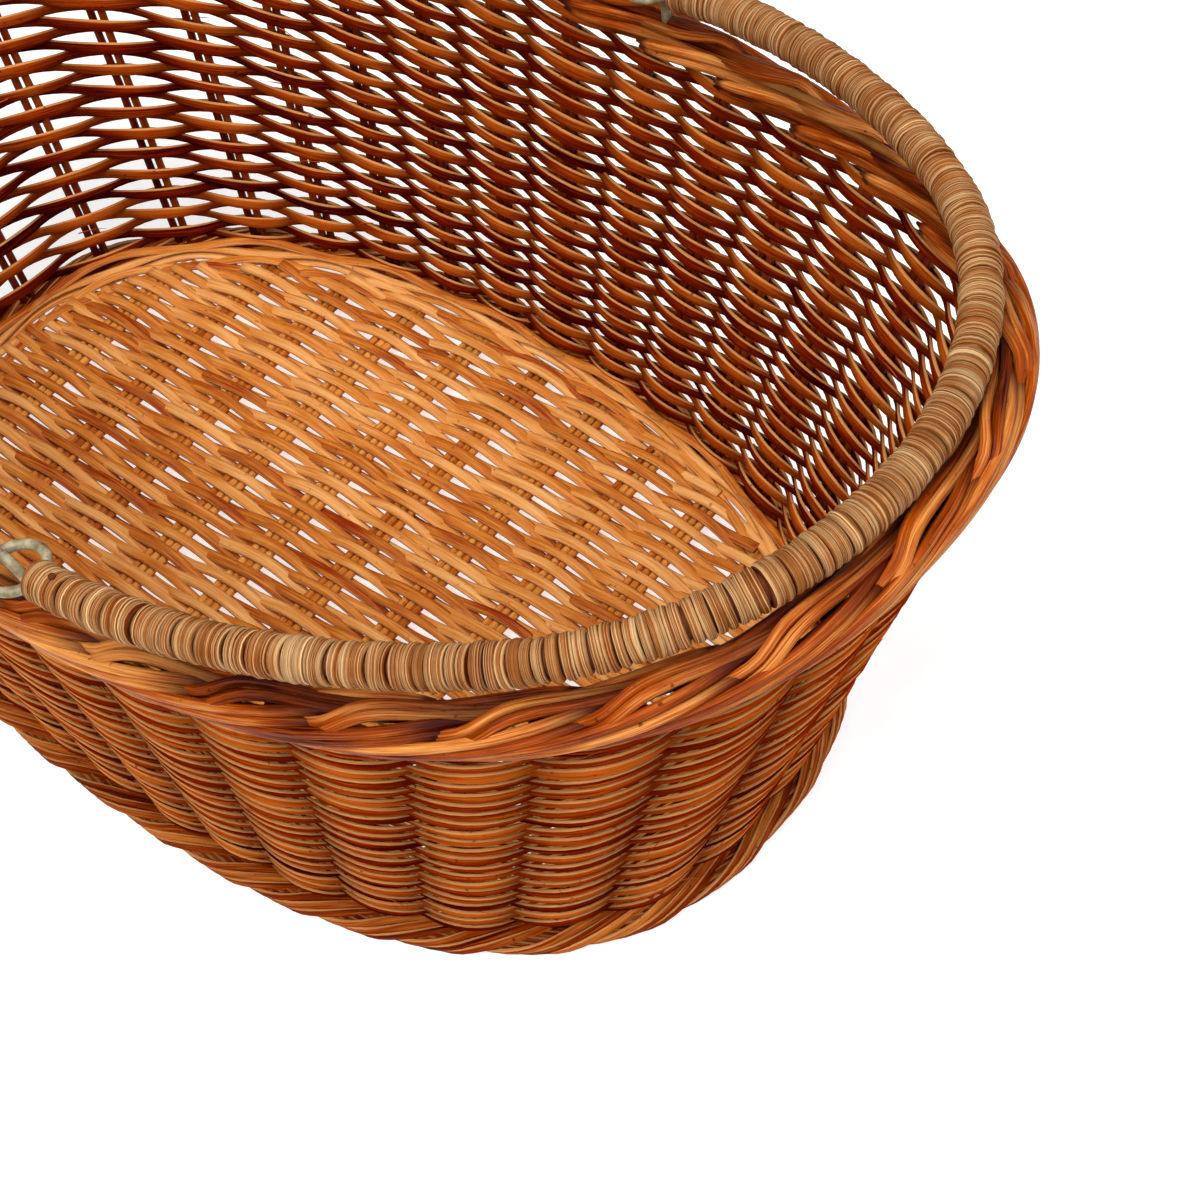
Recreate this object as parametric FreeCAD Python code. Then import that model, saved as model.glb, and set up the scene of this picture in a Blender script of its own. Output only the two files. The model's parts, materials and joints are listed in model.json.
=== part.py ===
import FreeCAD, Part
import math
import os
from FreeCAD import Vector

# Oval shopping basket of split cane with two swing handles.
# +X is the long way of the oval, +Y the short way, +Z up.
# The origin is the centre of the foot, on the surface that the basket stands on.
# All sizes are in millimetres.

# ---- driving sizes ----

# Plan of the basket: an oval between an ellipse and a rounded rectangle.
# Half sizes are taken to the middle of the wall at the floor and to the middle of the border.
oval_exponent = 2.35
floor_half_length = 183.5
floor_half_width = 121.0
rim_half_length = 237.0
rim_half_width = 144.0
rim_height = 168.5
rim_end_rise = 44.0

# Side stakes: pairs of round cane standing in the weave.
stake_count = 34
stake_diameter = 3.0
stake_pair_gap = 0.6
stake_end_spread = 0.12
stake_clearance = 0.1

# Weavers: flat half-round cane passing inside and outside the stakes.
weaver_thickness = 2.3
wale_height = 9.0

# Foot: a twined roll that the basket stands on.
foot_height = 10.0
foot_inside = 5.0
foot_outside = 8.0
foot_bevel = 2.5

# Floor: groups of thin sticks across the basket, woven over lengthwise.
floor_clearance = 1.6
floor_edge_clearance = 0.3
floor_stick_diameter = 3.0
floor_sticks_per_group = 3
floor_group_spacing = 30.0
floor_weaver_thickness = 2.2

# Border: a thick roll of cane bundles along the rim.
border_half_width = 8.0
border_half_height = 7.5
border_sides = 12
border_stake_seat = 3.0

# Swing handles: a cane rod wrapped with peel, one hoop towards each end.
core_diameter = 9.0
wrap_thickness = 2.0
hinge_offset = 36.3
hinge_height_over_border = 12.0
hinge_inset = 1.0
crown_inset = 8.0
crown_rest_gap = 0.3
crown_roundness = 0.87
handle_end_overlap = 1.0

# Rings at the handle ends and the loops that they hang on.
ring_radius = 8.85
ring_wire = 3.2
ring_seat_clearance = 0.1
loop_radius = 12.5
loop_wire = 3.2
loop_shoulder_angle = 54.0
loop_hole_clearance = 0.1
loop_leg_over_stakes = 0.6

# Pegs that pin the wrapping near each handle end.
peg_diameter = 2.2
peg_setback = 11.0
peg_proud = 0.6
peg_clearance = 0.05

# ---- worked-out sizes ----

wall_half = stake_diameter / 2.0 + weaver_thickness + stake_clearance
floor_thickness = floor_stick_diameter + 2.0 * floor_weaver_thickness
handle_radius = core_diameter / 2.0 + wrap_thickness
hinge_height = rim_height + border_half_height + hinge_height_over_border
hinge_half_width = rim_half_width - hinge_inset
crown_contact = border_half_width + handle_radius + crown_rest_gap
crown_height = rim_height + rim_end_rise + math.sqrt(crown_contact ** 2 - crown_inset ** 2)
crown_reach = rim_half_length - crown_inset - hinge_offset
outline_points = 48


def oval_direction(angle):
    """Unit oval point at a parameter angle, in shares of the half length and half width."""
    c = math.cos(angle)
    s = math.sin(angle)
    power = 2.0 / oval_exponent
    return math.copysign(abs(c) ** power, c), math.copysign(abs(s) ** power, s)


def wall_point(angle, outward, rise, lift):
    """Point of the wall: rise 0 is the standing surface, rise 1 the middle of the border."""
    share_x, share_y = oval_direction(angle)
    half_length = floor_half_length + rise * (rim_half_length - floor_half_length) + outward
    half_width = floor_half_width + rise * (rim_half_width - floor_half_width) + outward
    top = rim_height + rim_end_rise * share_x ** 2
    return Vector(half_length * share_x, half_width * share_y, rise * top + lift)


def wall_outline(outward, rise, lift):
    """Closed smooth edge round the wall."""
    turn = 2.0 * math.pi / outline_points
    points = [wall_point(i * turn, outward, rise, lift) for i in range(outline_points)]
    curve = Part.BSplineCurve()
    curve.interpolate(Points=points, PeriodicFlag=True)
    return curve.toShape()


def wall_ring(section):
    """Closed ring round the wall. The section is a list of (outward, rise, lift) corners.
    A level side at the standing surface's rise becomes a true flat face."""
    edges = [wall_outline(*corner) for corner in section]
    faces = []
    for i, edge in enumerate(edges):
        corner = section[i]
        following = (i + 1) % len(edges)
        if corner[1:] == section[following][1:] and corner[1] == 0.0:
            wires = sorted([Part.Wire([edge]), Part.Wire([edges[following]])], key=lambda wire: -wire.Length)
            faces.append(Part.makeFace(wires, "Part::FaceMakerBullseye"))
        else:
            faces.append(Part.makeRuledSurface(edge, edges[following]))
    shell = Part.makeShell(faces)
    shell.sewShape()
    solid = Part.makeSolid(shell)
    if solid.Volume < 0:
        solid.reverse()
    return solid


def weave_band(low_rise, high_rise):
    """Band of weave between two levels; the weave runs from the foot's top to the border's underside."""
    low_lift = foot_height * (1.0 - low_rise) - border_half_height * low_rise
    high_lift = foot_height * (1.0 - high_rise) - border_half_height * high_rise
    corners = [(-wall_half, low_rise, low_lift), (wall_half, low_rise, low_lift)]
    corners += [(wall_half, high_rise, high_lift), (-wall_half, high_rise, high_lift)]
    return wall_ring(corners)


def stake_angles():
    """Parameter angles that spread the stakes evenly round the wall, wider apart at the ends."""
    steps = 1440
    turn = 2.0 * math.pi / steps
    travelled = [0.0]
    for i in range(steps):
        here = wall_point(i * turn, 0.0, 0.5, 0.0)
        there = wall_point((i + 1) * turn, 0.0, 0.5, 0.0)
        share_x, share_y = oval_direction((i + 0.5) * turn)
        spread = 1.0 + stake_end_spread * (share_x ** 2 - share_y ** 2)
        step = math.hypot(there.x - here.x, there.y - here.y)
        travelled.append(travelled[-1] + step / spread)
    angles = []
    index = 0
    for k in range(stake_count):
        target = travelled[-1] * (k + 0.5) / stake_count
        while travelled[index + 1] < target:
            index += 1
        part_step = (target - travelled[index]) / (travelled[index + 1] - travelled[index])
        angles.append((index + part_step) * turn)
    return angles


def stake_rods(radius, end_allowance):
    """Straight round rods, a pair at each stake place, from the foot up into the border."""
    bottom_lift = foot_bevel - end_allowance
    top_lift = border_stake_seat - border_half_height + end_allowance
    rods = []
    small_turn = 0.001
    for angle in stake_angles():
        low = wall_point(angle, 0.0, 0.0, bottom_lift)
        high = wall_point(angle, 0.0, 1.0, top_lift)
        beside = wall_point(angle + small_turn, 0.0, 0.0, bottom_lift) - low
        beside.normalize()
        beside.multiply((stake_diameter + stake_pair_gap) / 2.0)
        axis = high - low
        for side in (beside, beside.negative()):
            rods.append(Part.makeCylinder(radius, axis.Length, low + side, axis))
    return rods


def floor_stick_rods(radius, end_allowance):
    """Parallel round sticks across the floor in flat groups."""
    reach = floor_half_length - foot_inside - 2.0 * floor_stick_diameter
    groups_each_side = int(reach // floor_group_spacing)
    middle = floor_clearance + floor_thickness / 2.0
    pitch = floor_stick_diameter + stake_clearance
    rods = []
    for group in range(-groups_each_side, groups_each_side + 1):
        for k in range(floor_sticks_per_group):
            x = group * floor_group_spacing + (k - (floor_sticks_per_group - 1) / 2.0) * pitch
            share = abs(x) / (floor_half_length - foot_inside)
            narrowing = (1.0 - share ** oval_exponent) ** (1.0 / oval_exponent)
            half = (floor_half_width - foot_inside) * narrowing
            half += end_allowance - floor_stick_diameter
            rods.append(Part.makeCylinder(radius, 2.0 * half, Vector(x, -half, middle), Vector(0, 1, 0)))
    return rods


def make_floor_weave():
    """Slab of lengthwise weavers, holed for the sticks, filling the inside of the foot."""
    outline = Part.Wire([wall_outline(-foot_inside - floor_edge_clearance, 0.0, floor_clearance)])
    slab = Part.Face(outline).extrude(Vector(0, 0, floor_thickness))
    holes = floor_stick_rods(floor_stick_diameter / 2.0 + stake_clearance / 2.0, stake_clearance)
    return slab.cut(holes)


def make_foot():
    """Foot roll: a flat underside, bevelled edges, and seats for the stake ends."""
    section = [(-foot_inside, 0.0, 0.0), (foot_outside - foot_bevel, 0.0, 0.0)]
    section += [(foot_outside, 0.0, foot_bevel), (foot_outside, 0.0, foot_height - foot_bevel)]
    section += [(foot_outside - foot_bevel, 0.0, foot_height), (-foot_inside, 0.0, foot_height)]
    return wall_ring(section)


def border_section():
    """Oval many-sided section of the border about its middle."""
    corners = []
    for i in range(border_sides):
        angle = 2.0 * math.pi * (i + 0.5) / border_sides
        corners.append((border_half_width * math.cos(angle), 1.0, border_half_height * math.sin(angle)))
    return corners


def hinge_point(side):
    """Middle of the ring of the +X handle on the long side at -Y or +Y."""
    return Vector(hinge_offset, side * hinge_half_width, hinge_height)


def loop_arch_centre(side):
    """The loop's arch holds the ring on its shoulder, so that the ring turns about its own middle."""
    shoulder = math.radians(loop_shoulder_angle)
    back = Vector(loop_radius * math.cos(shoulder), 0, loop_radius * math.sin(shoulder))
    return hinge_point(side) - back


def make_loop(side, wire, extra_depth):
    """Loop of round cane: a half-circle arch with two legs down into the border, ending over the stakes."""
    centre = loop_arch_centre(side)
    farther_leg = (centre.x + loop_radius + loop_wire) / rim_half_length
    stake_top = rim_height + rim_end_rise * farther_leg ** 2 - border_half_height + border_stake_seat
    leg_bottom = stake_top + loop_leg_over_stakes - extra_depth
    right = centre + Vector(loop_radius, 0, 0)
    left = centre - Vector(loop_radius, 0, 0)
    right_foot = Vector(right.x, right.y, leg_bottom)
    left_foot = Vector(left.x, left.y, leg_bottom)
    top = centre + Vector(0, 0, loop_radius)
    edges = [Part.makeLine(right_foot, right)]
    edges.append(Part.Arc(right, top, left).toShape())
    edges.append(Part.makeLine(left, left_foot))
    profile = Part.Wire([Part.makeCircle(wire / 2.0, right_foot, Vector(0, 0, 1))])
    return Part.Wire(edges).makePipeShell([profile], True, True)


def hoop_frame():
    """Outward unit direction of the tilted plane that the +X hoop lies in, and its reach."""
    rise = crown_height - hinge_height
    reach = math.hypot(crown_reach, rise)
    return Vector(crown_reach / reach, 0, rise / reach), reach


def hoop_point(outward, across):
    """Point of the hoop's plane, measured from the middle of the hinge line."""
    direction, reach = hoop_frame()
    middle = Vector(hinge_offset, 0, hinge_height)
    return middle + direction * outward + Vector(0, across, 0)


def hoop_path():
    """Centre line of the hoop: two side arcs joined by a tighter crown arc, all tangent."""
    direction, reach = hoop_frame()
    start = ring_radius - handle_end_overlap
    length = reach - start
    crown_radius = crown_roundness * hinge_half_width
    side_radius = (length - crown_radius) ** 2 + hinge_half_width ** 2 - crown_radius ** 2
    side_radius /= 2.0 * (hinge_half_width - crown_radius)
    join = math.atan2(side_radius - hinge_half_width, length - crown_radius)
    crown_middle = reach - crown_radius
    side_offset = side_radius - hinge_half_width

    def crown(angle):
        return hoop_point(crown_middle + crown_radius * math.cos(angle), crown_radius * math.sin(angle))

    def flank(angle, side):
        outward = start + side_radius * math.cos(angle)
        across = side * (side_radius * math.sin(angle) - side_offset)
        return hoop_point(outward, across)

    half_turn = (math.pi / 2.0 + join) / 2.0
    near = Part.Arc(flank(math.pi / 2.0, -1), flank(half_turn, -1), flank(join, -1)).toShape()
    top = Part.Arc(crown(-join), crown(0.0), crown(join)).toShape()
    far = Part.Arc(flank(join, 1), flank(half_turn, 1), flank(math.pi / 2.0, 1)).toShape()
    return Part.Wire([near, top, far])


def hoop_rod(radius):
    """Round rod along the hoop."""
    path = hoop_path()
    direction, reach = hoop_frame()
    start = path.OrderedVertexes[0].Point
    profile = Part.Wire([Part.makeCircle(radius, start, direction)])
    return path.makePipeShell([profile], True, True)


def make_ring(side, wire):
    """Closed cane ring lying in the plane of the hoop."""
    direction, reach = hoop_frame()
    normal = Vector(-direction.z, 0, direction.x)
    return Part.makeTorus(ring_radius, wire / 2.0, hinge_point(side), normal)


def make_peg(side, diameter, allowance):
    """Peg through the handle near its end, square to the plane of the hoop."""
    direction, reach = hoop_frame()
    normal = Vector(-direction.z, 0, direction.x)
    foot = hoop_point(ring_radius - handle_end_overlap + peg_setback, side * hinge_half_width)
    half = handle_radius + peg_proud + allowance
    return Part.makeCylinder(diameter / 2.0, 2.0 * half, foot - normal * half, normal)


def mirrored(shape):
    """The same piece for the handle at the -X end."""
    return shape.mirror(Vector(0, 0, 0), Vector(1, 0, 0))


def save(name, shape):
    shape.exportStep("parts/" + name + ".step")


os.makedirs("parts", exist_ok=True)

# ---- basket body ----

stakes = stake_rods(stake_diameter / 2.0, 0.0)
stake_holes = stake_rods(stake_diameter / 2.0 + stake_clearance / 2.0, stake_clearance)
save("side_stakes", Part.makeCompound(stakes))
save("floor_sticks", Part.makeCompound(floor_stick_rods(floor_stick_diameter / 2.0, 0.0)))
save("floor_weave", make_floor_weave())
save("foot_roll", make_foot().cut(stake_holes))

# Bands of weave: a firm wale at the foot and under the border, and open weave between.
wale_rise = wale_height / rim_height
third = (1.0 - 2.0 * wale_rise) / 3.0
bands = ["lower_wale", "wall_weave_low", "wall_weave_middle", "wall_weave_high", "upper_wale"]
levels = [0.0, wale_rise, wale_rise + third, wale_rise + 2.0 * third, 1.0 - wale_rise, 1.0]
for i, name in enumerate(bands):
    save(name, weave_band(levels[i], levels[i + 1]).cut(stake_holes))

# Border and the four loops standing in it.
border = wall_ring(border_section()).cut(stake_holes)
for side, place in ((-1, "front"), (1, "back")):
    loop = make_loop(side, loop_wire, 0.0)
    hole = make_loop(side, loop_wire + 2.0 * loop_hole_clearance, loop_hole_clearance)
    border = border.cut([hole, mirrored(hole)])
    save("rim_loop_" + place + "_right", loop)
    save("rim_loop_" + place + "_left", mirrored(loop))
save("rim_border", border)

# ---- handles ----

core = hoop_rod(core_diameter / 2.0)
wrap = hoop_rod(handle_radius).cut(core)
for side, place in ((-1, "front"), (1, "back")):
    ring = make_ring(side, ring_wire)
    peg = make_peg(side, peg_diameter, 0.0)
    room = [make_ring(side, ring_wire + 2.0 * ring_seat_clearance)]
    room.append(make_peg(side, peg_diameter + 2.0 * peg_clearance, peg_clearance))
    core = core.cut(room)
    wrap = wrap.cut(room)
    save("handle_right_ring_" + place, ring)
    save("handle_left_ring_" + place, mirrored(ring))
    save("handle_right_peg_" + place, peg)
    save("handle_left_peg_" + place, mirrored(peg))
save("handle_right_core", core)
save("handle_left_core", mirrored(core))
save("handle_right_wrap", wrap)
save("handle_left_wrap", mirrored(wrap))
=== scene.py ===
import json
import math
import random

import bmesh
import bpy
import numpy as np
from mathutils import Matrix, Vector


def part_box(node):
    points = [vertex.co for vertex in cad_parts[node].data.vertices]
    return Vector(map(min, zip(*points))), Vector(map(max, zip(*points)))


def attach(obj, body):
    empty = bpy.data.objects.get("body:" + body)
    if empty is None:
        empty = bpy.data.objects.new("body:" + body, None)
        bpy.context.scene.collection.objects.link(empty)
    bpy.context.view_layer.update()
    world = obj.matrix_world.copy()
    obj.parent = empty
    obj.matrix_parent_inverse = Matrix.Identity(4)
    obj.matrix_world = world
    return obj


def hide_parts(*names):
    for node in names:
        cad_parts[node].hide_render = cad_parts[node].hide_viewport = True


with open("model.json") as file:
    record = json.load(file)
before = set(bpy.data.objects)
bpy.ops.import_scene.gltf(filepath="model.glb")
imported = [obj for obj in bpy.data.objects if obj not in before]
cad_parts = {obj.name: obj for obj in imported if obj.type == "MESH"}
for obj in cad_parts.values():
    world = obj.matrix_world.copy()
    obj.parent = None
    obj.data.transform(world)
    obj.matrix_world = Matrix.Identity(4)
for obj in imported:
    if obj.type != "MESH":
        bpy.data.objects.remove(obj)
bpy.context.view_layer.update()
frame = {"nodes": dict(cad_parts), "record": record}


# ---- side stakes ----
# The upright frame of the basket: thirty-four pairs of round peeled cane, about 3 mm thick.
# Each pair is pushed down into the foot roll and runs up through the weave into the border.

oval_exponent = 2.35
border_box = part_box("rim_border")
foot_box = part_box("foot_roll")
border_roll = Vector((0.0077, 0.0077, 0.0072))
floor_half = Vector((foot_box[1].x - 0.008, foot_box[1].y - 0.008))
rim_half = Vector((border_box[1].x - border_roll.x, border_box[1].y - border_roll.y))
rim_height = border_box[0].z + border_roll.z
rim_end_rise = border_box[1].z - border_roll.z - rim_height
foot_top = foot_box[1].z

stake_places = 34
stake_radius = 0.0015
stake_spacing = 0.0036
stake_end_spread = 0.12
chance = random.Random(34)


def oval_share(angle):
    """Point of the unit oval, in shares of the half length and the half width."""
    c, s = math.cos(angle), math.sin(angle)
    power = 2.0 / oval_exponent
    return math.copysign(abs(c) ** power, c), math.copysign(abs(s) ** power, s)


def wall_place(angle, outward, rise, lift):
    """Point of the wall: rise 0 is the standing surface, rise 1 the middle of the border."""
    x, y = oval_share(angle)
    half = floor_half + rise * (rim_half - floor_half)
    top = rim_height + rim_end_rise * x * x
    return Vector(((half.x + outward) * x, (half.y + outward) * y, rise * top + lift))


def stake_angles():
    """Oval angles of the stake pairs, evenly round the wall and a little wider apart at the ends."""
    steps = 1440
    turn = 2.0 * math.pi / steps
    travelled = [0.0]
    for i in range(steps):
        step = wall_place((i + 1) * turn, 0.0, 0.5, 0.0) - wall_place(i * turn, 0.0, 0.5, 0.0)
        x, y = oval_share((i + 0.5) * turn)
        spread = 1.0 + stake_end_spread * (x * x - y * y)
        travelled.append(travelled[-1] + math.hypot(step.x, step.y) / spread)
    targets = [travelled[-1] * (k + 0.5) / stake_places for k in range(stake_places)]
    return [float(np.interp(target, travelled, range(steps + 1))) * turn for target in targets]


angles = stake_angles()


def angle_at(place):
    """Oval angle at a place counted in stakes, with parts of a stake between them."""
    k = math.floor(place)
    part = place - k
    low = angles[k % stake_places] + 2.0 * math.pi * (k // stake_places)
    high = angles[(k + 1) % stake_places] + 2.0 * math.pi * ((k + 1) // stake_places)
    return low + part * (high - low)


def oval_outline(half_width, half_height, sides, squareness=1.0, first=0.5):
    """Outline of a cane's section: (across, up) points. Squareness over 1 flattens its faces."""
    points = []
    for i in range(sides):
        turn = -2.0 * math.pi * (i + first) / sides
        c, s = math.cos(turn), math.sin(turn)
        across = math.copysign(abs(c) ** (1.0 / squareness), c)
        up = math.copysign(abs(s) ** (1.0 / squareness), s)
        points.append((half_width * across, half_height * up))
    return points


loom = bpy.data.scenes.new("loom")


def lay_cane(
    bundle, path, outline, closed=False, tone=0.5, thickness=None, turn=None, twist="Z_UP", shade=1.0
):
    """Adds one cane to a bundle: an outline carried along a path, with its UV map in metres along and around.
    Across runs to the right of the path and up runs upwards. The edge mark is 1 on the upper edge of a tall
    section, a paler cut edge with a painted highlight on it, and on both side edges of a wide one.
    Shade is painted shade: 1 in the open and less where the cane is tucked under others."""
    section = bpy.data.curves.new("section", "CURVE")
    section.dimensions = "2D"
    ring = section.splines.new("POLY")
    ring.points.add(len(outline) - 1)
    for point, (across, up) in zip(ring.points, outline):
        point.co = (across, up, 0.0, 1.0)
    ring.use_cyclic_u = True
    section_object = bpy.data.objects.new("section", section)
    loom.collection.objects.link(section_object)
    line = bpy.data.curves.new("line", "CURVE")
    line.dimensions = "3D"
    line.twist_mode = twist
    line.bevel_mode = "OBJECT"
    line.bevel_object = section_object
    line.use_fill_caps = not closed
    spline = line.splines.new("POLY")
    spline.points.add(len(path) - 1)
    coordinates = np.ones((len(path), 4))
    coordinates[:, :3] = np.array([tuple(p) for p in path])
    spline.points.foreach_set("co", coordinates.ravel())
    if thickness is not None:
        spline.points.foreach_set("radius", thickness)
    if turn is not None:
        spline.points.foreach_set("tilt", turn)
    spline.use_cyclic_u = closed
    line_object = bpy.data.objects.new("line", line)
    loom.collection.objects.link(line_object)
    loom.view_layers[0].update()
    shown = line_object.evaluated_get(loom.view_layers[0].depsgraph)
    mesh = bpy.data.meshes.new_from_object(shown)
    length = float(np.linalg.norm(np.diff(coordinates[:, :3], axis=0), axis=1).sum())
    shape = np.array(outline)
    around = float(np.linalg.norm(shape - np.roll(shape, 1, 0), axis=1).sum())
    uv = np.zeros(2 * len(mesh.loops))
    mesh.uv_layers[0].data.foreach_get("uv", uv)
    mesh.uv_layers[0].data.foreach_set("uv", (uv.reshape(-1, 2) * (length, around)).ravel())
    half_up = max(abs(up) for across, up in outline)
    half_across = max(abs(across) for across, up in outline)
    edge_from = 0.8
    if half_up > half_across:
        cut_edge_and_highlight_mask = [float(up > edge_from * half_up) for across, up in outline]
    else:
        cut_edge_and_highlight_mask = [float(abs(across) > edge_from * half_across) for across, up in outline]
    edge = np.resize(cut_edge_and_highlight_mask, len(mesh.vertices))
    mesh.attributes.new("edge", "FLOAT", "POINT").data.foreach_set("value", edge)
    tones = np.full(len(mesh.vertices), tone)
    mesh.attributes.new("tone", "FLOAT", "POINT").data.foreach_set("value", tones)
    shades = np.resize(np.repeat(np.broadcast_to(shade, len(path)), len(outline)), len(mesh.vertices))
    mesh.attributes.new("shade", "FLOAT", "POINT").data.foreach_set("value", shades.astype(float))
    bundle.from_mesh(mesh)
    bpy.data.meshes.remove(mesh)
    bpy.data.curves.remove(line)
    bpy.data.curves.remove(section)


def bind(name, bundle, material, body="basket"):
    """Makes a finished piece of a bundle and fixes it to its body and finish."""
    bmesh.ops.remove_doubles(bundle, verts=bundle.verts, dist=0.000002)
    bmesh.ops.recalc_face_normals(bundle, faces=bundle.faces)
    for face in bundle.faces:
        face.smooth = True
    mesh = bpy.data.meshes.new(name)
    bundle.to_mesh(mesh)
    bundle.free()
    mesh.materials.append(material)
    piece = bpy.data.objects.new(name, mesh)
    bpy.context.collection.objects.link(piece)
    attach(piece, body)
    return piece


def linear(code):
    """Linear colour of an sRGB hex value."""
    values = [int(code[i:i + 2], 16) / 255.0 for i in (1, 3, 5)]
    return tuple(v / 12.92 if v <= 0.04045 else ((v + 0.055) / 1.055) ** 2.4 for v in values) + (1.0,)


def add(tree, kind, inputs=None, stops=None, **settings):
    """Adds a node with its settings. An input is given a value, or a socket to link from."""
    made = tree.nodes.new(kind)
    for key, value in settings.items():
        setattr(made, key, value)
    for key, value in (inputs or {}).items():
        if isinstance(value, bpy.types.NodeSocket):
            tree.links.new(value, made.inputs[key])
        else:
            made.inputs[key].default_value = value
    if stops:
        elements = made.color_ramp.elements
        while len(elements) < len(stops):
            elements.new(0.5)
        for element, (position, colour) in zip(elements, stops):
            element.position = position
            element.color = linear(colour)
    return made


def cane_finish(name, dark, middle, light, edge, cut_edge_and_highlight_share, sheen_roughness, gloss, varnish=0.0):
    """Varnished cane: fibre streaks, a tone for each strand, paler cut edges with a painted highlight, dark
    specks and painted shade.
    """
    material = bpy.data.materials.new(name)
    material.use_nodes = True
    tree = material.node_tree
    tree.nodes.clear()
    place = add(tree, "ShaderNodeUVMap", uv_map="UVMap").outputs[0]
    tone = add(tree, "ShaderNodeAttribute", attribute_name="tone").outputs["Fac"]
    cut_edge_and_highlight_mask = add(tree, "ShaderNodeAttribute", attribute_name="edge").outputs["Fac"]
    shift = add(tree, "ShaderNodeCombineXYZ", {"X": tone, "Z": tone}).outputs[0]
    far = add(tree, "ShaderNodeVectorMath", {0: shift, 3: 173.0}, operation="SCALE").outputs[0]
    # fibres about 0.5 mm apart and some 20 mm long
    fine = add(
        tree,
        "ShaderNodeVectorMath",
        {0: place, 1: (50.0, 2100.0, 0.0), 2: far},
        operation="MULTIPLY_ADD",
    )
    fibre = add(
        tree,
        "ShaderNodeTexNoise",
        {"Vector": fine.outputs[0], "Scale": 1.0, "Detail": 4.0, "Roughness": 0.6},
    )
    # stains and lighter lengths of 30 to 80 mm along a strand
    slow = add(
        tree,
        "ShaderNodeVectorMath",
        {0: place, 1: (28.0, 240.0, 0.0), 2: far},
        operation="MULTIPLY_ADD",
    )
    stain = add(
        tree,
        "ShaderNodeTexNoise",
        {"Vector": slow.outputs[0], "Scale": 1.0, "Detail": 3.0, "Roughness": 0.55},
    )
    thread = add(tree, "ShaderNodeMapRange", {0: fibre.outputs["Fac"], 1: 0.32, 2: 0.68})
    cloud = add(tree, "ShaderNodeMapRange", {0: stain.outputs["Fac"], 1: 0.3, 2: 0.7, 3: -0.02, 4: 0.36})
    streak = add(
        tree,
        "ShaderNodeMath",
        {0: thread.outputs[0], 1: 0.34, 2: cloud.outputs[0]},
        operation="MULTIPLY_ADD",
    )
    level = add(tree, "ShaderNodeMath", {0: tone, 1: 0.40, 2: streak.outputs[0]}, operation="MULTIPLY_ADD")
    ramp = add(
        tree,
        "ShaderNodeValToRGB",
        {0: level.outputs[0]},
        [(0.18, dark), (0.5, middle), (0.9, light)],
    )
    # the cut edges of a split strand are paler; on a tall strand only the upper edge is marked, so this is also
    # a painted highlight
    edge_fibre_streak = add(tree, "ShaderNodeMath", {0: thread.outputs[0], 1: 0.6, 2: 0.5}, operation="MULTIPLY_ADD")
    rim = add(tree, "ShaderNodeMapRange", {0: cut_edge_and_highlight_mask, 1: 0.78, 2: 1.0})
    share = add(
        tree,
        "ShaderNodeMath",
        {0: edge_fibre_streak.outputs[0], 1: rim.outputs[0]},
        operation="MULTIPLY",
        use_clamp=True,
    )
    share = add(
        tree,
        "ShaderNodeMath",
        {0: share.outputs[0], 1: cut_edge_and_highlight_share},
        operation="MULTIPLY",
        use_clamp=True,
    )
    pale = add(
        tree,
        "ShaderNodeMix",
        {0: share.outputs[0], 6: ramp.outputs[0], 7: linear(edge)},
        data_type="RGBA",
    )
    # nodes and nicks, about 1 mm
    spots = add(
        tree,
        "ShaderNodeTexNoise",
        {"Vector": add(tree, "ShaderNodeTexCoord").outputs["Object"], "Scale": 420.0, "Detail": 1.0},
    )
    nick = add(tree, "ShaderNodeMapRange", {0: spots.outputs["Fac"], 1: 0.71, 2: 0.8, 3: 0.0, 4: 0.75})
    speckled = add(
        tree,
        "ShaderNodeMix",
        {0: nick.outputs[0], 6: pale.outputs[2], 7: linear(dark)},
        data_type="RGBA",
    )
    # painted shade: darker where a strand is tucked under the next or lies deep in a roll
    painted_shade_factor = add(tree, "ShaderNodeAttribute", attribute_name="shade").outputs["Fac"]
    colour = add(
        tree,
        "ShaderNodeMix",
        {0: painted_shade_factor, 6: linear(dark), 7: speckled.outputs[2]},
        data_type="RGBA",
    )
    rough = add(
        tree,
        "ShaderNodeMapRange",
        {0: fibre.outputs["Fac"], 3: sheen_roughness + 0.1, 4: sheen_roughness - 0.08},
    )
    relief = add(
        tree,
        "ShaderNodeBump",
        {"Strength": 0.9, "Distance": 0.0005, "Height": fibre.outputs["Fac"]},
    )
    surface = add(
        tree,
        "ShaderNodeBsdfPrincipled",
        {
            "Base Color": colour.outputs[2],
            "Roughness": rough.outputs[0],
            "Normal": relief.outputs[0],
            "IOR": 1.5,
            "Specular IOR Level": gloss,
            "Coat Weight": varnish,
            "Coat Roughness": 0.3,
        },
    )
    add(tree, "ShaderNodeOutputMaterial", {"Surface": surface.outputs[0]})
    return material


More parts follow.
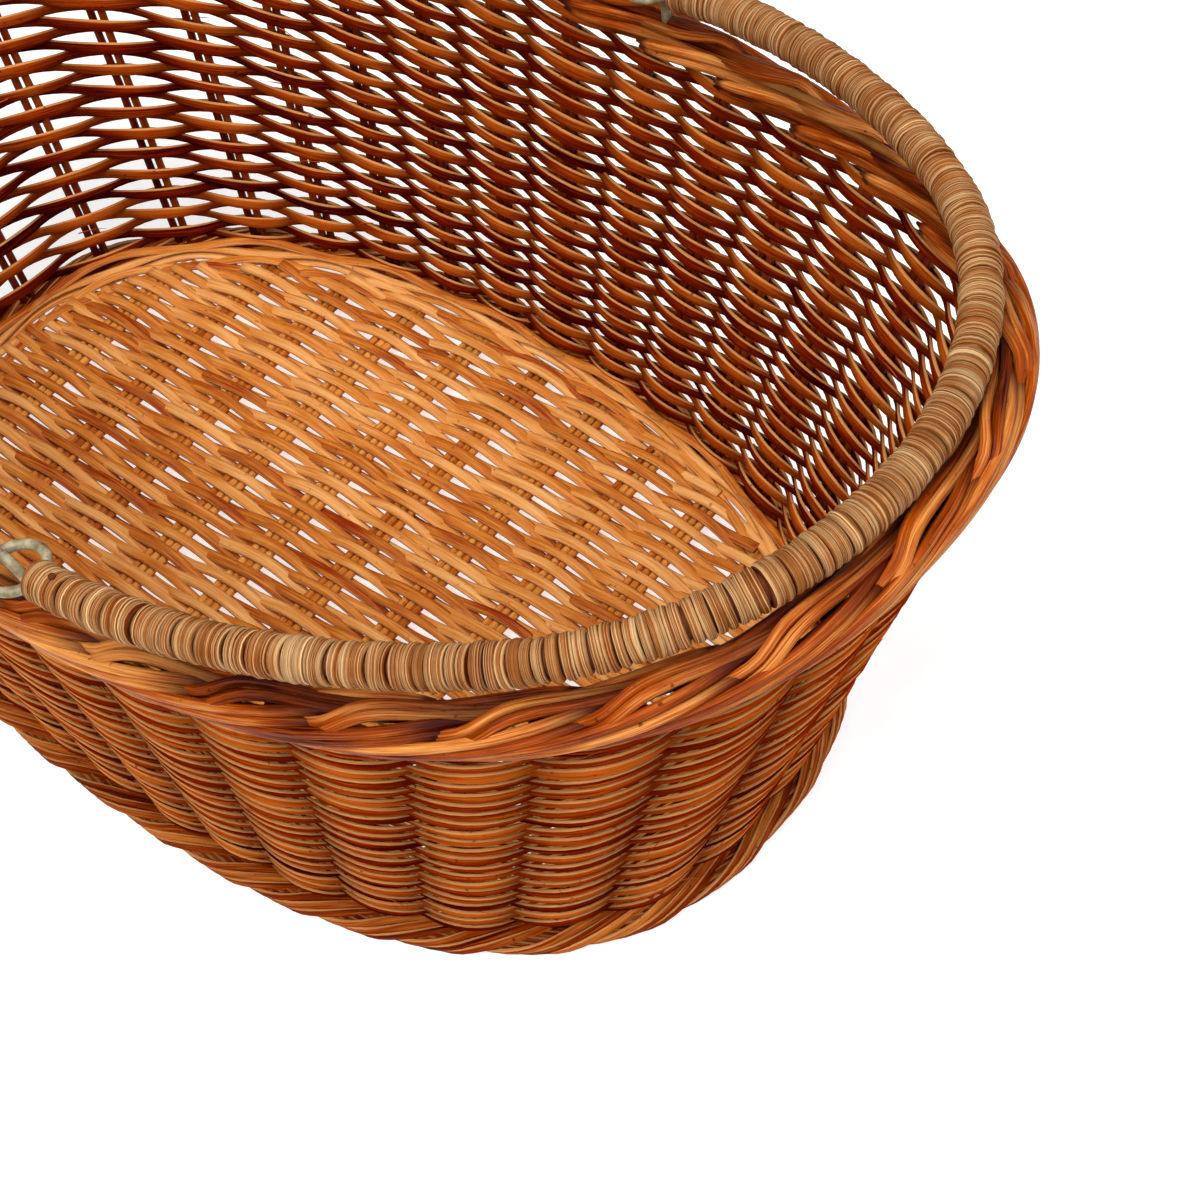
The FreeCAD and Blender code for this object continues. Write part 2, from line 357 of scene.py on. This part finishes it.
# Peeled round cane under varnish: mid brown, darker where it is shaded by the weave.
stake_cane = cane_finish("varnished_round_cane", "#2E0200", "#681800", "#9A420C", "#C88448", 0.0, 0.5, 0.12)
stake_bundle = bmesh.new()
round_cane = oval_outline(stake_radius, stake_radius, 8)
for k, angle in enumerate(angles):
    foot = wall_place(angle, 0.0, 0.0, 0.0027)
    head = wall_place(angle, 0.0, 1.0, -0.0045)
    beside = (wall_place(angle + 0.001, 0.0, 0.0, 0.0) - wall_place(angle, 0.0, 0.0, 0.0)).normalized()
    for side in (-0.5, 0.5):
        path = []
        for i in range(9):
            share = i / 8.0
            lean = chance.uniform(-0.0003, 0.0003) if 0 < i < 8 else 0.0
            path.append(foot.lerp(head, share) + beside * (side * stake_spacing + lean))
        lay_cane(stake_bundle, path, round_cane, tone=chance.random(), twist="MINIMUM")
stakes = bind("side_stake_pairs", stake_bundle, stake_cane)
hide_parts("side_stakes")


# ---- floor sticks ----
# The floor's frame: flat groups of three round sticks laid across the basket every 30 mm.
# Their ends are held inside the foot roll.

sticks_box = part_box("floor_sticks")
floor_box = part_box("floor_weave")
stick_spacing = 0.0031
group_spacing = 0.030
groups_each_side = int(round((sticks_box[1].x - stick_spacing - stake_radius) / group_spacing))
floor_middle = 0.5 * (floor_box[0].z + floor_box[1].z)
floor_reach = Vector((floor_box[1].x, floor_box[1].y))


def floor_half_chord(distance, reach, other):
    """Half of the floor's chord at a distance from the middle line."""
    share = min(abs(distance) / reach, 1.0)
    return other * (1.0 - share ** oval_exponent) ** (1.0 / oval_exponent)


stick_bundle = bmesh.new()
for group in range(-groups_each_side, groups_each_side + 1):
    for k in (-1, 0, 1):
        x = group * group_spacing + k * stick_spacing
        half = floor_half_chord(x, floor_reach.x, floor_reach.y) - 0.003
        path = []
        for i in range(9):
            path.append(Vector((x + chance.uniform(-0.0002, 0.0002), half * (i / 4.0 - 1.0), floor_middle)))
        lay_cane(stick_bundle, path, round_cane, tone=chance.uniform(0.3, 1.0))
# The sticks are a paler peeled cane, rubbed dull under the weave.
stick_cane = cane_finish("peeled_round_cane", "#7A2400", "#BC641A", "#E09A48", "#DDA566", 0.0, 0.55, 0.12)
sticks = bind("floor_stick_groups", stick_bundle, stick_cane)
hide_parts("floor_sticks")


# ---- floor weave ----
# Long flat strands of split cane, woven over and under the stick groups from end to end.
# The strands wander sideways, pair up, and leave slim wedges open beside the sticks.

floor_rows = 64
floor_strand_half = 0.0021
floor_strand_thick = 0.0010
over_stick = stake_radius + floor_strand_thick + 0.0001
floor_bundle = bmesh.new()
floor_outline = oval_outline(floor_strand_half, floor_strand_thick, 8, 1.5)
edge_gap = floor_strand_half + 0.001
for row in range(floor_rows):
    middle = (floor_reach.y - edge_gap) * (2.0 * (row + 0.5) / floor_rows - 1.0)
    half = floor_half_chord(middle, floor_reach.y, floor_reach.x) - edge_gap
    wave = [chance.uniform(-1.0, 1.0) for n in range(6)]
    steps = max(8, int(2.0 * half / 0.0037))
    path, widths = [], []
    for i in range(steps + 1):
        x = half * (2.0 * i / steps - 1.0)
        phase = math.pi * (x / group_spacing + row)
        bow = 1.0 - 0.10 * (x / floor_reach.x) ** 2
        drift = 0.0005 * math.sin(61.0 * x + 6.0 * wave[0]) + 0.0003 * math.sin(150.0 * x + 6.0 * wave[1])
        lean = 0.0005 * math.sin(phase)
        height = floor_middle + over_stick * math.cos(phase)
        path.append(Vector((x, middle * bow + drift + lean, height)))
        widths.append(1.0 + 0.10 * math.sin(40.0 * x + 6.0 * wave[2]) + 0.08 * wave[3])
    lay_cane(floor_bundle, path, floor_outline, tone=chance.random(), thickness=widths)
# Where the floor meets the wall, strands run round with the oval and close the corner.
corner_strands = ((-0.0062, 0.0062), (-0.0088, 0.0066), (-0.0050, 0.0090), (-0.0036, 0.0112), (-0.0116, 0.0060))
for row, (outward, level) in enumerate(corner_strands):
    path = []
    for i in range(stake_places * 6):
        place = i / 6.0
        swing = math.cos(math.pi * (place + row))
        path.append(wall_place(angle_at(place), outward + 0.0007 * swing, 0.0, level + 0.0011 * swing))
    lay_cane(floor_bundle, path, oval_outline(0.0019, 0.0009, 8, 1.5), closed=True, tone=chance.random())
# Split cane, golden tan with orange lengths: the floor keeps more of its first colour than the walls.
floor_cane = cane_finish("golden_split_cane", "#8A2800", "#C87628", "#E8AC68", "#F0BE82", 0.35, 0.48, 0.14)
floor_weave = bind("floor_weavers", floor_bundle, floor_cane)
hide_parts("floor_weave")


# ---- wall weave ----
# Forty-two rows of flat split cane, each passing outside one stake pair and inside the next.
# Rows are beaten down on each other, so the rows swing past one another between the stakes.

wall_rows = 42
strand_half = 0.0025
strand_thick = 0.0006
past_stake = stake_radius + strand_thick + 0.0009
wall_outline = oval_outline(strand_thick, strand_half, 8, 2.2, 0.0)
points_between = 8
wale_height = 0.009
wale_rise = wale_height / rim_height
third = (1.0 - 2.0 * wale_rise) / 3.0
bands = ["lower_wale", "wall_weave_low", "wall_weave_middle", "wall_weave_high", "upper_wale"]
band_tops = [wale_rise, wale_rise + third, wale_rise + 2.0 * third, 1.0 - wale_rise, 1.01]
# Split cane with the rind on: deep red-brown varnish on the faces, pale along the upper cut edges with a
# painted highlight from above.
wall_cane = cane_finish("red_brown_split_cane", "#300000", "#7C2000", "#B65818", "#DA985A", 1.0, 0.5, 0.0)
band_bundles = [bmesh.new() for band in bands]
swell = [(chance.uniform(-1.0, 1.0), chance.uniform(0.0, 6.3)) for n in range(5)]
for row in range(wall_rows):
    rise = (row + 0.5) / wall_rows
    lift = foot_top * (1.0 - rise) - border_roll.z * rise
    band = next(i for i, top in enumerate(band_tops) if rise <= top)
    sag = [
        (chance.uniform(-1.0, 1.0), chance.uniform(0.0, 6.3), chance.choice((5, 7, 9, 13)))
        for n in range(3)
    ]
    width = chance.uniform(0.92, 1.10)
    path, widths, turns, shades = [], [], [], []
    total = stake_places * points_between
    for i in range(total):
        place = i / points_between
        angle = angle_at(place)
        swing = math.cos(math.pi * (place + row))
        out = past_stake * math.copysign(abs(swing) ** 0.85, swing)
        uneven = sum(0.00045 * a * math.sin(n * angle + b) for a, b, n in sag)
        uneven += sum(
            0.0006 * a * math.sin((n + 2) * angle + b + 5.0 * rise) for n, (a, b) in enumerate(swell)
        )
        path.append(wall_place(angle, out, rise, lift + uneven * math.sin(math.pi * rise)))
        widths.append(width * (1.0 - 0.20 * (1.0 - abs(swing)) + 0.07 * math.sin(3.0 * place + row)))
        turns.append(math.radians(9.0 + 5.0 * math.sin(2.3 * place + 1.7 * row)))
        # painted shade: darker where the strand crosses between the stakes, under the rows beside it
        shades.append(0.4 + 0.6 * abs(swing))
    lay_cane(
        band_bundles[band],
        path,
        wall_outline,
        True,
        chance.uniform(-0.25, 1.25),
        widths,
        turns,
        shade=shades,
    )
# Loose fibres and broken ends stand off the weave here and there.
fibre_outline = oval_outline(0.0002, 0.0003, 5)
loose_fibres = 90
once_round = 6.283
for n in range(loose_fibres):
    angle, rise = chance.uniform(0.0, once_round), chance.uniform(0.04, 0.96)
    facing, heading = chance.choice((-1.0, 1.0)), chance.choice((-1.0, 1.0))
    lift = foot_top * (1.0 - rise) - border_roll.z * rise
    start = wall_place(angle, facing * past_stake, rise, lift)
    along = (wall_place(angle + 0.01, facing * past_stake, rise, lift) - start).normalized() * heading
    away = Vector((start.x, start.y, 0.0)).normalized() * facing
    length, spring = chance.uniform(0.005, 0.014), chance.uniform(0.0008, 0.0035)
    path = []
    for t in (0.0, 0.35, 0.7, 1.0):
        droop = Vector((0.0, 0.0, -0.3 * spring * t))
        path.append(start + along * (length * t) + away * (spring * t * t) + droop)
    band = next(i for i, top in enumerate(band_tops) if rise <= top)
    lay_cane(
        band_bundles[band],
        path,
        fibre_outline,
        False,
        chance.uniform(0.6, 1.3),
        (1.0, 0.9, 0.6, 0.2),
        twist="MINIMUM",
    )
for band, bundle in zip(bands, band_bundles):
    woven = bind(band + "_strands", bundle, wall_cane)
    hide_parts(band)


# ---- foot roll ----
# The ring that the basket stands on: split cane twined round the stake feet, three canes at a time.
# At each stake one set comes out under the roll and climbs past three stakes; another falls behind it.

foot_bundle = bmesh.new()
foot_middle = 0.5 * foot_top
foot_cane_outline = oval_outline(0.0008, 0.0015, 8, 1.8, 0.0)
cane_fan = 26.0
tucked_shade = 0.45


def smoothed(travelled, column, t):
    """Value of a column at t, eased over the corners."""
    return float(np.mean([np.interp(t + d, travelled, column) for d in (-0.08, -0.04, 0.0, 0.04, 0.08)]))


foot_climb = (
    (0.0, -160.0, 0.0050), (0.8, -95.0, 0.0052), (1.3, -40.0, 0.0066), (2.0, 30.0, 0.0078),
    (2.6, 80.0, 0.0062), (3.2, 130.0, 0.0050),
)
foot_fall = (
    (0.0, 150.0, 0.0046), (0.8, 80.0, 0.0050), (1.5, 30.0, 0.0054), (2.3, -25.0, 0.0056),
    (3.1, -95.0, 0.0046), (3.7, -150.0, 0.0044),
)
for k in range(stake_places):
    for stations in (foot_climb, foot_fall):
        travelled, rounds, depths = zip(*stations)
        # painted shade: the set that falls behind the climbing set is darker
        shade = 1.0 if stations is foot_climb else tucked_shade
        offset = chance.uniform(-0.1, 0.1)
        for cane in (-1, 0, 1):
            path, turns = [], []
            for t in np.linspace(0.0, travelled[-1], 25):
                turn = smoothed(travelled, rounds, t) + cane_fan * cane
                depth = smoothed(travelled, depths, t)
                out = 0.001 + depth * math.cos(math.radians(turn))
                up = foot_middle + 0.62 * depth * math.sin(math.radians(turn))
                path.append(wall_place(angle_at(k + offset + t), out, 0.0, up))
                turns.append(math.radians(-turn))
            lay_cane(foot_bundle, path, foot_cane_outline, tone=chance.random(), turn=turns, shade=shade)
# Red-brown twined cane: pale upper cut edges with a painted highlight, and painted shade on the tucked set.
foot_cane = cane_finish("red_brown_twined_cane", "#3C0200", "#842E00", "#C0702C", "#DC9C5E", 0.9, 0.5, 0.02)
foot_piece = bind("foot_roll_twine", foot_bundle, foot_cane)
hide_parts("foot_roll")


# ---- rim border ----
# The stake heads turned down to make a thick rolled border, three canes at a time.
# One set of bundles climbs out of the roll and over its top; the other runs low along the outside.

border_bundle = bmesh.new()
border_outline = oval_outline(0.00168, 0.00168, 10)
inner_outline = oval_outline(0.0015, 0.0015, 7)


def border_path(start, stations, beside, inset):
    """Path through stations of (stakes travelled, degrees round the roll, depth), with its painted shade,
    darker where deep.
    Beside moves it round the roll, next to the other canes of its bundle, and inset moves it inwards."""
    travelled, rounds, depths = zip(*stations)
    path, shades = [], []
    for t in np.arange(travelled[0], travelled[-1] + 0.01, 0.08):
        turn = math.radians(smoothed(travelled, rounds, t))
        depth = smoothed(travelled, depths, t) - inset
        out = depth * math.cos(turn) - beside * math.sin(turn)
        up = 0.94 * (depth * math.sin(turn) + beside * math.cos(turn))
        path.append(wall_place(angle_at(start + t), out, 1.0, up))
        # painted shade: darker the deeper the cane lies in the roll
        shades.append(min(1.0, max(0.0, (depth - 0.0030) / 0.0034)))
    return path, shades


low_run = (
    (-0.6, -62.0, 0.0062), (-0.2, -40.0, 0.0072), (0.3, -18.0, 0.0075), (0.8, 2.0, 0.0075),
    (1.2, 18.0, 0.0073),
    (1.6, 37.0, 0.0064), (1.85, 50.0, 0.0048), (2.05, 57.0, 0.0032), (2.3, 62.0, 0.0020),
)
high_run = (
    (0.45, -20.0, 0.0034), (0.75, 4.0, 0.0040), (0.92, 24.0, 0.0050), (1.06, 52.0, 0.0076),
    (1.24, 80.0, 0.0074),
    (1.5, 98.0, 0.0063), (1.9, 108.0, 0.0050), (2.25, 120.0, 0.0040), (2.7, 140.0, 0.0046),
    (3.2, 164.0, 0.0060),
    (3.6, 184.0, 0.0072), (3.9, 198.0, 0.0076),
)
for k in range(stake_places):
    low_shift = chance.uniform(-0.1, 0.1)
    high_shift = chance.uniform(-0.06, 0.06)
    for run, shift in ((low_run, low_shift), (high_run, high_shift)):
        for beside, inset in ((-0.0017, 0.0), (0.0017, 0.0), (0.0, 0.0026)):
            start = k + shift + chance.uniform(-0.05, 0.05)
            path, shades = border_path(start, run, beside + chance.uniform(-0.0002, 0.0002), inset)
            outline = border_outline if inset == 0.0 else inner_outline
            widths = [1.0] * len(path)
            widths[-4:] = (0.95, 0.85, 0.65, 0.3)
            lay_cane(
                border_bundle,
                path,
                outline,
                False,
                chance.random(),
                widths,
                twist="MINIMUM",
                shade=shades,
            )
# Round cane with its glossy skin: orange-brown, with golden lengths, long dark streaks and painted shade in the
# creases deep in the roll.
border_cane = cane_finish(
    "glossy_round_cane",
    "#340200",
    "#9A4000",
    "#E29C50",
    "#E0A860",
    0.0,
    0.38,
    0.08,
    0.04,
)
border_piece = bind("rim_border_bundles", border_bundle, border_cane)
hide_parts("rim_border")


# ---- rim loops ----
# Four arches of bent round cane that stand in the border on the long sides.
# Each one carries a ring of a handle on its shoulder.

hinge = frame["record"]["behaviour"]["joints"][0]["pos_m"]
hinge_x, hinge_z = abs(hinge[0]), hinge[2]
painted = bpy.data.materials.new("painted_bent_cane")
painted.use_nodes = True
tree = painted.node_tree
tree.nodes.clear()
# Bent cane under a beige-grey paint: satin, with pinholes and darker rubbed spots.
spot_place = add(tree, "ShaderNodeTexCoord").outputs["Object"]
blotch = add(tree, "ShaderNodeTexNoise", {"Vector": spot_place, "Scale": 260.0, "Detail": 3.0})
grit = add(tree, "ShaderNodeTexNoise", {"Vector": spot_place, "Scale": 1500.0, "Detail": 2.0})
paint = add(
    tree,
    "ShaderNodeValToRGB",
    {0: blotch.outputs["Fac"]},
    [(0.3, "#564A30"), (0.5, "#85795C"), (0.7, "#A89C80")],
)
pin = add(tree, "ShaderNodeMapRange", {0: grit.outputs["Fac"], 1: 0.6, 2: 0.72, 3: 0.0, 4: 0.7})
colour = add(
    tree,
    "ShaderNodeMix",
    {0: pin.outputs[0], 6: paint.outputs[0], 7: linear("#3C2E1A")},
    data_type="RGBA",
)
relief = add(tree, "ShaderNodeBump", {"Strength": 0.4, "Distance": 0.0002, "Height": grit.outputs["Fac"]})
rough = add(tree, "ShaderNodeMapRange", {0: blotch.outputs["Fac"], 3: 0.55, 4: 0.38})
surface = add(
    tree,
    "ShaderNodeBsdfPrincipled",
    {"Base Color": colour.outputs[2], "Roughness": rough.outputs[0], "Normal": relief.outputs[0], "IOR": 1.5},
)
add(tree, "ShaderNodeOutputMaterial", {"Surface": surface.outputs[0]})

for node_name in ("rim_loop_front_right", "rim_loop_back_right", "rim_loop_front_left", "rim_loop_back_left"):
    low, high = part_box(node_name)
    wire = 0.5 * (high.y - low.y)
    centre_x, centre_y = 0.5 * (low.x + high.x), 0.5 * (low.y + high.y)
    radius = 0.5 * (high.x - low.x) - wire
    centre_z = high.z - wire - radius
    leg_middle = 0.5 * (low.z + centre_z)
    path = [
        Vector((centre_x + radius, centre_y, low.z)),
        Vector((centre_x + radius, centre_y, leg_middle)),
    ]
    for i in range(17):
        turn = math.pi * i / 16.0
        path.append(
            Vector((centre_x + radius * math.cos(turn), centre_y, centre_z + radius * math.sin(turn))),
        )
    path += [
        Vector((centre_x - radius, centre_y, leg_middle)),
        Vector((centre_x - radius, centre_y, low.z)),
    ]
    loop_bundle = bmesh.new()
    lay_cane(loop_bundle, path, oval_outline(wire, wire, 12), twist="MINIMUM")
    loop = bind(node_name + "_arch", loop_bundle, painted)
    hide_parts(node_name)


# ---- handles ----
# Two hoops of cane rod wound from end to end with flat peel, a turn every 3 mm or so.
# A bent cane ring is caught in each end, and a small round peg pins the winding.

crown_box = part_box("handle_right_wrap")
handle_radius = 0.0065
ring_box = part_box("handle_right_ring_front")
ring_wire = 0.0016
ring_radius = 0.5 * (ring_box[1].y - ring_box[0].y) - ring_wire
hinge_half_width = -0.5 * (ring_box[0].y + ring_box[1].y)
crown = Vector((crown_box[1].x - handle_radius, 0.0, crown_box[1].z - handle_radius))
hinge_middle = Vector((hinge_x, 0.0, hinge_z))
hoop_out = (crown - hinge_middle).normalized()
hoop_reach = (crown - hinge_middle).length
hoop_normal = Vector((-hoop_out.z, 0.0, hoop_out.x))
crown_roundness = 0.87
handle_start = ring_radius - 0.001


def hoop_points(spacing):
    """Middle line of the right hoop: a side arc, a tighter crown arc and the other side arc."""
    length = hoop_reach - handle_start
    crown_radius = crown_roundness * hinge_half_width
    side_radius = (length - crown_radius) ** 2 + hinge_half_width ** 2 - crown_radius ** 2
    side_radius /= 2.0 * (hinge_half_width - crown_radius)
    join = math.atan2(side_radius - hinge_half_width, length - crown_radius)
    side_turn = 0.5 * math.pi - join
    path = []
    side_count = int(round(side_radius * side_turn / spacing))
    crown_count = int(round(crown_radius * 2.0 * join / spacing))
    for i in range(side_count):
        turn = 0.5 * math.pi - side_turn * i / side_count
        across = -(side_radius * math.sin(turn) - (side_radius - hinge_half_width))
        path.append((handle_start + side_radius * math.cos(turn), across))
    for i in range(crown_count + 1):
        turn = join * (2.0 * i / crown_count - 1.0)
        path.append(
            (hoop_reach - crown_radius + crown_radius * math.cos(turn), crown_radius * math.sin(turn)),
        )
    path += [(out, -across) for out, across in reversed(path[:side_count])]
    return [hinge_middle + hoop_out * out + Vector((0.0, across, 0.0)) for out, across in path]


# Flat peel: pale straw with fine fibre lines round it, and painted shade making each turn browner towards the
# gaps.
peel = bpy.data.materials.new("wound_cane_peel")
peel.use_nodes = True
tree = peel.node_tree
tree.nodes.clear()
across = add(tree, "ShaderNodeAttribute", attribute_name="across").outputs["Fac"]
tone = add(tree, "ShaderNodeAttribute", attribute_name="tone").outputs["Fac"]
spot_place = add(tree, "ShaderNodeTexCoord").outputs["Object"]
wander = add(tree, "ShaderNodeTexNoise", {"Vector": spot_place, "Scale": 55.0, "Detail": 2.0})
wide = add(tree, "ShaderNodeMath", {0: wander.outputs["Fac"], 1: 0.5, 2: across}, operation="MULTIPLY_ADD")
far = add(tree, "ShaderNodeMath", {0: tone, 1: 91.0}, operation="MULTIPLY")
line_place = add(tree, "ShaderNodeCombineXYZ", {"X": wide.outputs[0], "Y": far.outputs[0]})
lines = add(
    tree,
    "ShaderNodeTexNoise",
    {"Vector": line_place.outputs[0], "Scale": 9.0, "Detail": 4.0, "Roughness": 0.7},
)
blotch = add(tree, "ShaderNodeTexNoise", {"Vector": spot_place, "Scale": 90.0, "Detail": 3.0})
thread = add(tree, "ShaderNodeMapRange", {0: lines.outputs["Fac"], 1: 0.34, 2: 0.64})
level = add(tree, "ShaderNodeMath", {0: blotch.outputs["Fac"], 1: 0.35, 2: -0.02}, operation="MULTIPLY_ADD")
level = add(
    tree,
    "ShaderNodeMath",
    {0: thread.outputs[0], 1: 0.62, 2: level.outputs[0]},
    operation="MULTIPLY_ADD",
)
level = add(tree, "ShaderNodeMath", {0: tone, 1: 0.08, 2: level.outputs[0]}, operation="MULTIPLY_ADD")
ramp = add(
    tree,
    "ShaderNodeValToRGB",
    {0: level.outputs[0]},
    [(0.2, "#6A1E00"), (0.48, "#B2682C"), (0.8, "#F4CC94")],
)
# painted shade: each turn darkens towards its edges, in the gaps between the turns
ends = add(tree, "ShaderNodeMath", {0: across, 1: 0.5}, operation="SUBTRACT")
ends = add(tree, "ShaderNodeMath", {0: ends.outputs[0]}, operation="ABSOLUTE")
painted_gap_shade = add(tree, "ShaderNodeMapRange", {0: ends.outputs[0], 1: 0.42, 2: 0.49, 3: 0.0, 4: 0.9})
colour = add(
    tree,
    "ShaderNodeMix",
    {0: painted_gap_shade.outputs[0], 6: ramp.outputs[0], 7: linear("#300800")},
    data_type="RGBA",
)
relief = add(tree, "ShaderNodeBump", {"Strength": 1.0, "Distance": 0.0007, "Height": thread.outputs[0]})
rough = add(tree, "ShaderNodeMapRange", {0: lines.outputs["Fac"], 3: 0.72, 4: 0.55})
surface = add(
    tree,
    "ShaderNodeBsdfPrincipled",
    {
        "Base Color": colour.outputs[2],
        "Roughness": rough.outputs[0],
        "Normal": relief.outputs[0],
        "Specular IOR Level": 0.04,
    },
)
add(tree, "ShaderNodeOutputMaterial", {"Surface": surface.outputs[0]})

# One turn of peel, a shallow cushion round the rod, made 1 wide so that each turn can be scaled to its width.
turn_shape = bmesh.new()
across_layer = turn_shape.verts.layers.float.new("across")
profile = (
    (-0.5, -0.0016), (-0.45, -0.0005), (-0.3, 0.0), (0.0, 0.0002), (0.3, 0.0), (0.45, -0.0005),
    (0.5, -0.0016),
)
corners = []
for share, height in profile:
    vert = turn_shape.verts.new((handle_radius - 0.0003 + height, 0.0, share))
    vert[across_layer] = share + 0.5
    corners.append(vert)
edges = [turn_shape.edges.new((corners[i], corners[i + 1])) for i in range(len(corners) - 1)]
bmesh.ops.spin(
    turn_shape,
    geom=corners + edges,
    cent=(0.0, 0.0, 0.0),
    axis=(0.0, 0.0, 1.0),
    dvec=(0.0, 0.0, 0.0),
    angle=2.0 * math.pi,
    steps=20,
    use_merge=True,
    use_normal_flip=False,
    use_duplicate=False,
)
one_turn = bpy.data.meshes.new("one_turn")
turn_shape.to_mesh(one_turn)
turn_shape.free()

peg_cane = cane_finish("cut_round_cane", "#5A2A0C", "#A26A34", "#CFA066", "#CFA066", 0.0, 0.55, 0.12)
peel_width = 0.0034
fine_step = 0.0005
fine_path = hoop_points(fine_step)
for hand, mirror in (("right", 1.0), ("left", -1.0)):
    body = "handle_" + hand
    winding = bmesh.new()
    at = 2
    while at < len(fine_path) - 8:
        wide = peel_width * chance.uniform(0.82, 1.14)
        middle = min(len(fine_path) - 3, at + int(round(0.5 * wide / fine_step)))
        along = (fine_path[middle + 2] - fine_path[middle - 2]).normalized()
        side = along.cross(hoop_normal).normalized()
        lean_to = hoop_normal * math.cos(0.8) + side * math.sin(0.8)
        axis = (along + lean_to * math.tan(math.radians(chance.uniform(-2.0, 11.0)))).normalized()
        spoke = (hoop_normal - axis * hoop_normal.dot(axis)).normalized()
        fat = 1.0 + chance.uniform(-0.04, 0.05)
        place = Matrix.Identity(4)
        for column, (line, size) in enumerate(((spoke, fat), (axis.cross(spoke), fat), (axis, wide))):
            for row in range(3):
                place[row][column] = line[row] * size
        place.translation = fine_path[middle]
        turn_mesh = bpy.data.meshes.new("turn")
        turn_shape = bmesh.new()
        turn_shape.from_mesh(one_turn)
        bmesh.ops.transform(
            turn_shape,
            matrix=Matrix.Diagonal((mirror, 1.0, 1.0, 1.0)) @ place,
            verts=turn_shape.verts,
        )
        turn_shape.to_mesh(turn_mesh)
        turn_shape.free()
        tones = np.full(len(turn_mesh.vertices), chance.random())
        turn_mesh.attributes.new("tone", "FLOAT", "POINT").data.foreach_set("value", tones)
        winding.from_mesh(turn_mesh)
        bpy.data.meshes.remove(turn_mesh)
        at += max(1, int(round(wide * 0.97 / fine_step)))
    for face in winding.faces:
        face.smooth = True
    bmesh.ops.recalc_face_normals(winding, faces=winding.faces)
    mesh = bpy.data.meshes.new(body + "_winding")
    winding.to_mesh(mesh)
    winding.free()
    mesh.materials.append(peel)
    wound = bpy.data.objects.new(body + "_winding", mesh)
    bpy.context.collection.objects.link(wound)
    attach(wound, body)
    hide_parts(body + "_wrap")
    core = frame["nodes"][body + "_core"]
    core.data.materials.clear()
    core.data.materials.append(peg_cane)
    for place in ("front", "back"):
        node_name = body + "_ring_" + place
        low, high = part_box(node_name)
        middle = 0.5 * (low + high)
        ring_bundle = bmesh.new()
        path = []
        tilt = Vector((mirror * hoop_out.x, 0.0, hoop_out.z))
        for i in range(45):
            turn = math.radians(200.0 + 372.0 * i / 44.0)
            aside = Vector((0.0, ring_radius * math.sin(turn), 0.0))
            path.append(middle + tilt * (ring_radius * math.cos(turn)) + aside)
        lay_cane(ring_bundle, path, oval_outline(ring_wire, ring_wire, 12))
        ring = bind(node_name + "_cane", ring_bundle, painted, body)
        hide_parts(node_name)
        peg = frame["nodes"][body + "_peg_" + place]
        peg.data.materials.clear()
        peg.data.materials.append(peg_cane)


# ---- floor, light and camera ----
# A plain pale floor under three square lamps, and a long lens looking down past one end.

sweep_mesh = bpy.data.meshes.new("pale_sweep")
sweep_shape = bmesh.new()
bmesh.ops.create_grid(sweep_shape, x_segments=1, y_segments=1, size=60.0)
sweep_shape.to_mesh(sweep_mesh)
sweep_shape.free()
sweep = bpy.data.objects.new("pale_sweep", sweep_mesh)
sweep.location = (0.0, 0.0, -0.0005)
bpy.context.collection.objects.link(sweep)
paper = bpy.data.materials.new("pale_paper")
paper.use_nodes = True
tree = paper.node_tree
tree.nodes.clear()
# Matt white paper that gives off a little light of its own, so that it reads as a clean pale sheet.
surface = add(
    tree,
    "ShaderNodeBsdfPrincipled",
    {
        "Base Color": linear("#C8C8C8"),
        "Roughness": 0.9,
        "Emission Color": (1.0, 1.0, 1.0, 1.0),
        "Emission Strength": 0.68,
    },
)
add(tree, "ShaderNodeOutputMaterial", {"Surface": surface.outputs[0]})
sweep_mesh.materials.append(paper)

world = bpy.data.worlds.new("soft_room")
world.use_nodes = True
world.node_tree.nodes["Background"].inputs["Color"].default_value = (1.0, 1.0, 1.0, 1.0)
world.node_tree.nodes["Background"].inputs["Strength"].default_value = 0.2
bpy.context.scene.world = world


def soft_lamp(name, place, aim, size, power, warmth):
    """A square studio lamp pointed at a place."""
    lamp = bpy.data.lights.new(name, "AREA")
    lamp.size = size
    lamp.energy = power
    lamp.color = warmth
    lamp_object = bpy.data.objects.new(name, lamp)
    lamp_object.location = place
    lamp_object.rotation_euler = (Vector(place) - Vector(aim)).to_track_quat("Z", "Y").to_euler()
    bpy.context.collection.objects.link(lamp_object)


soft_lamp("key_lamp", (0.1, -1.15, 1.5), (0.1, 0.0, 0.1), 0.7, 22.0, (1.0, 0.98, 0.95))
soft_lamp("top_lamp", (0.0, -0.1, 1.9), (0.0, 0.0, 0.1), 0.8, 22.0, (1.0, 0.98, 0.95))
soft_lamp("fill_lamp", (1.3, 0.2, 1.4), (0.1, 0.0, 0.1), 1.0, 13.0, (1.0, 1.0, 1.0))

camera_data = bpy.data.cameras.new("camera")
camera_data.sensor_width = 36.0
camera_data.lens = 71.8
camera_data.shift_x = -0.132
camera_data.shift_y = 0.173
camera = bpy.data.objects.new("camera", camera_data)
azimuth, elevation = math.radians(36.1), math.radians(59.8)
back = Vector(
    (math.cos(elevation) * math.sin(azimuth), -math.cos(elevation) * math.cos(azimuth), math.sin(elevation)),
)
camera.location = Vector((0.1973, -0.0200, 0.0503)) + back * 0.7742
camera.rotation_euler = back.to_track_quat("Z", "Y").to_euler()
bpy.context.collection.objects.link(camera)
bpy.context.scene.camera = camera
bpy.context.scene.view_settings.view_transform = "Standard"
